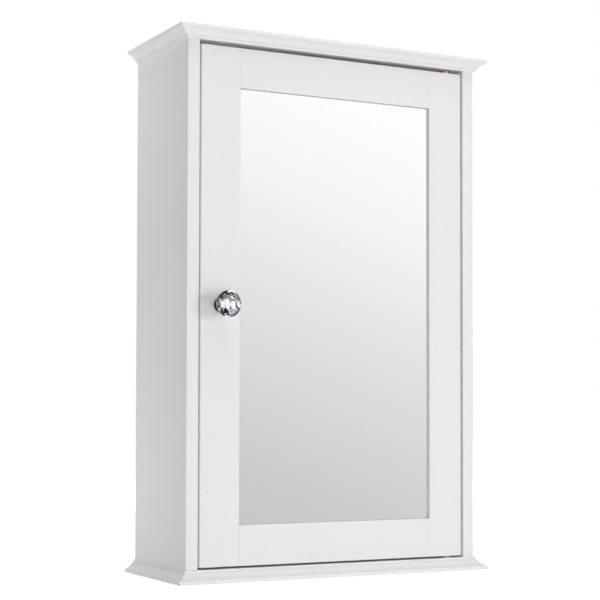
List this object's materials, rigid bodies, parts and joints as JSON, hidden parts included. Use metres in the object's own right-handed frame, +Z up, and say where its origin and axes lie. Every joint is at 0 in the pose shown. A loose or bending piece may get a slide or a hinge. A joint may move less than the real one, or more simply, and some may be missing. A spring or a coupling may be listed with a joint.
{
  "type": "bathroom mirror cabinet",
  "caption": "Wall-hung bathroom cabinet: box with coved, mitred top and bottom boards, framed mirror door on pivot pins, faceted crystal knob, shelves inside.",
  "frame": {"origin": "middle of the back edge of the bottom board, on the wall's plane, at the cabinet's lowest level", "axes": "+Z up, +Y into the wall, +X to the right as seen from the front, so the door faces -Y"},
  "size_m": [0.346, 0.1535, 0.53],
  "materials": {
    "white_lacquer": "satin white lacquer on fibreboard",
    "white_board": "thin matt white paint on fibreboard",
    "beech": "bare fluted beech",
    "zinc_steel": "bright zinc plate",
    "zinc_alloy": "bare die casting",
    "nickel_steel": "bright nickel plate",
    "bronze": "plain sintered bronze",
    "mirror": "silvered float glass with polished edges",
    "foam_tape": "white foam with adhesive",
    "dark_chrome": "polished dark chrome",
    "crystal": "cut and polished clear glass",
    "white_plastic": "moulded",
    "ferrite": "dark grey sintered"
  },
  "bodies": {
    "carcass": {"top_board": "white_lacquer", "bottom_board": "white_lacquer", "side_panel_left": "white_lacquer", "side_panel_right": "white_lacquer", "back_panel": "white_board", "hanging_rail": "white_board", "shelf_upper": "white_lacquer", "shelf_lower": "white_lacquer", "shelf_pegs_upper": "nickel_steel", "shelf_pegs_lower": "nickel_steel", "hanger_plates": "zinc_steel", "hanger_screws": "zinc_steel", "cam_locks": "zinc_alloy", "cam_bolts": "zinc_steel", "carcass_dowels": "beech", "rail_dowels": "beech", "pivot_bush_top": "bronze", "pivot_bush_bottom": "bronze", "catch_housing": "white_plastic", "catch_magnet": "ferrite", "catch_pole_plates": "nickel_steel", "catch_screws": "zinc_steel"},
    "door": {"door_stile_latch": "white_lacquer", "door_stile_hinge": "white_lacquer", "door_rail_top": "white_lacquer", "door_rail_bottom": "white_lacquer", "door_panel": "white_board", "mirror_glass": "mirror", "mirror_tape": "foam_tape", "pivot_pin_top": "nickel_steel", "pivot_pin_bottom": "nickel_steel", "knob_base": "dark_chrome", "knob_crystal": "crystal", "knob_screw": "zinc_steel", "strike_plate": "zinc_steel", "strike_screw": "zinc_steel"}
  },
  "joints": [
    {"name": "door_hinge", "type": "hinge", "parent": "carcass", "child": "door", "pos_m": [0.1333, -0.1205, 0.2641], "axis": [0, 0, 1], "range_deg": [0, 120]}
  ]
}
